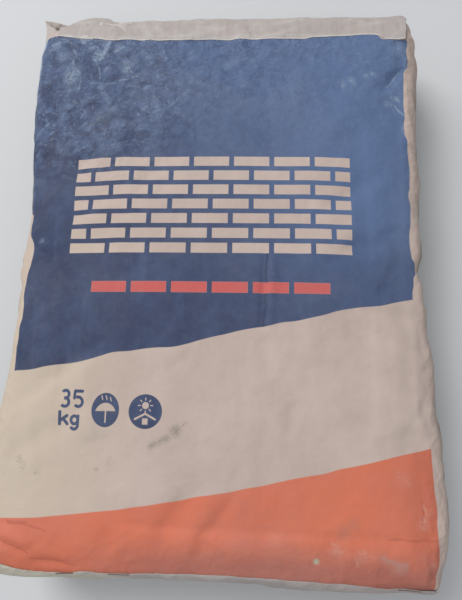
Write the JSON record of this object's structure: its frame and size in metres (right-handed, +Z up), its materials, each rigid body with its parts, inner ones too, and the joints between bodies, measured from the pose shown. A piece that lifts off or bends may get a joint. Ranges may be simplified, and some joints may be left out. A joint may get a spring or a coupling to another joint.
{
  "type": "cement bag",
  "caption": "Filled paper valve sack of cement lying flat: crowned printed face, bulged sides, block-bottom ends under pasted cover patches, filling valve in one head corner.",
  "frame": {"origin": "on the floor, under the middle of the whole outline", "axes": "+Z up, +Y along the sack towards the head end with the valve, +X to the right of the printed face"},
  "size_m": [0.4475, 0.6106, 0.116],
  "materials": {
    "sack_paper": "creased cream kraft paper, matt, printed with a blue field at the head and an orange band at the foot, dusty and rubbed",
    "patch_paper": "plain cream kraft paper, matt, wrinkled where it is pasted down",
    "sleeve_paper": "plain brown kraft paper, matt"
  },
  "bodies": {
    "root": {"sack_body": "sack_paper", "head_end_patch": "patch_paper", "foot_end_patch": "patch_paper", "valve_sleeve": "sleeve_paper"}
  },
  "joints": []
}
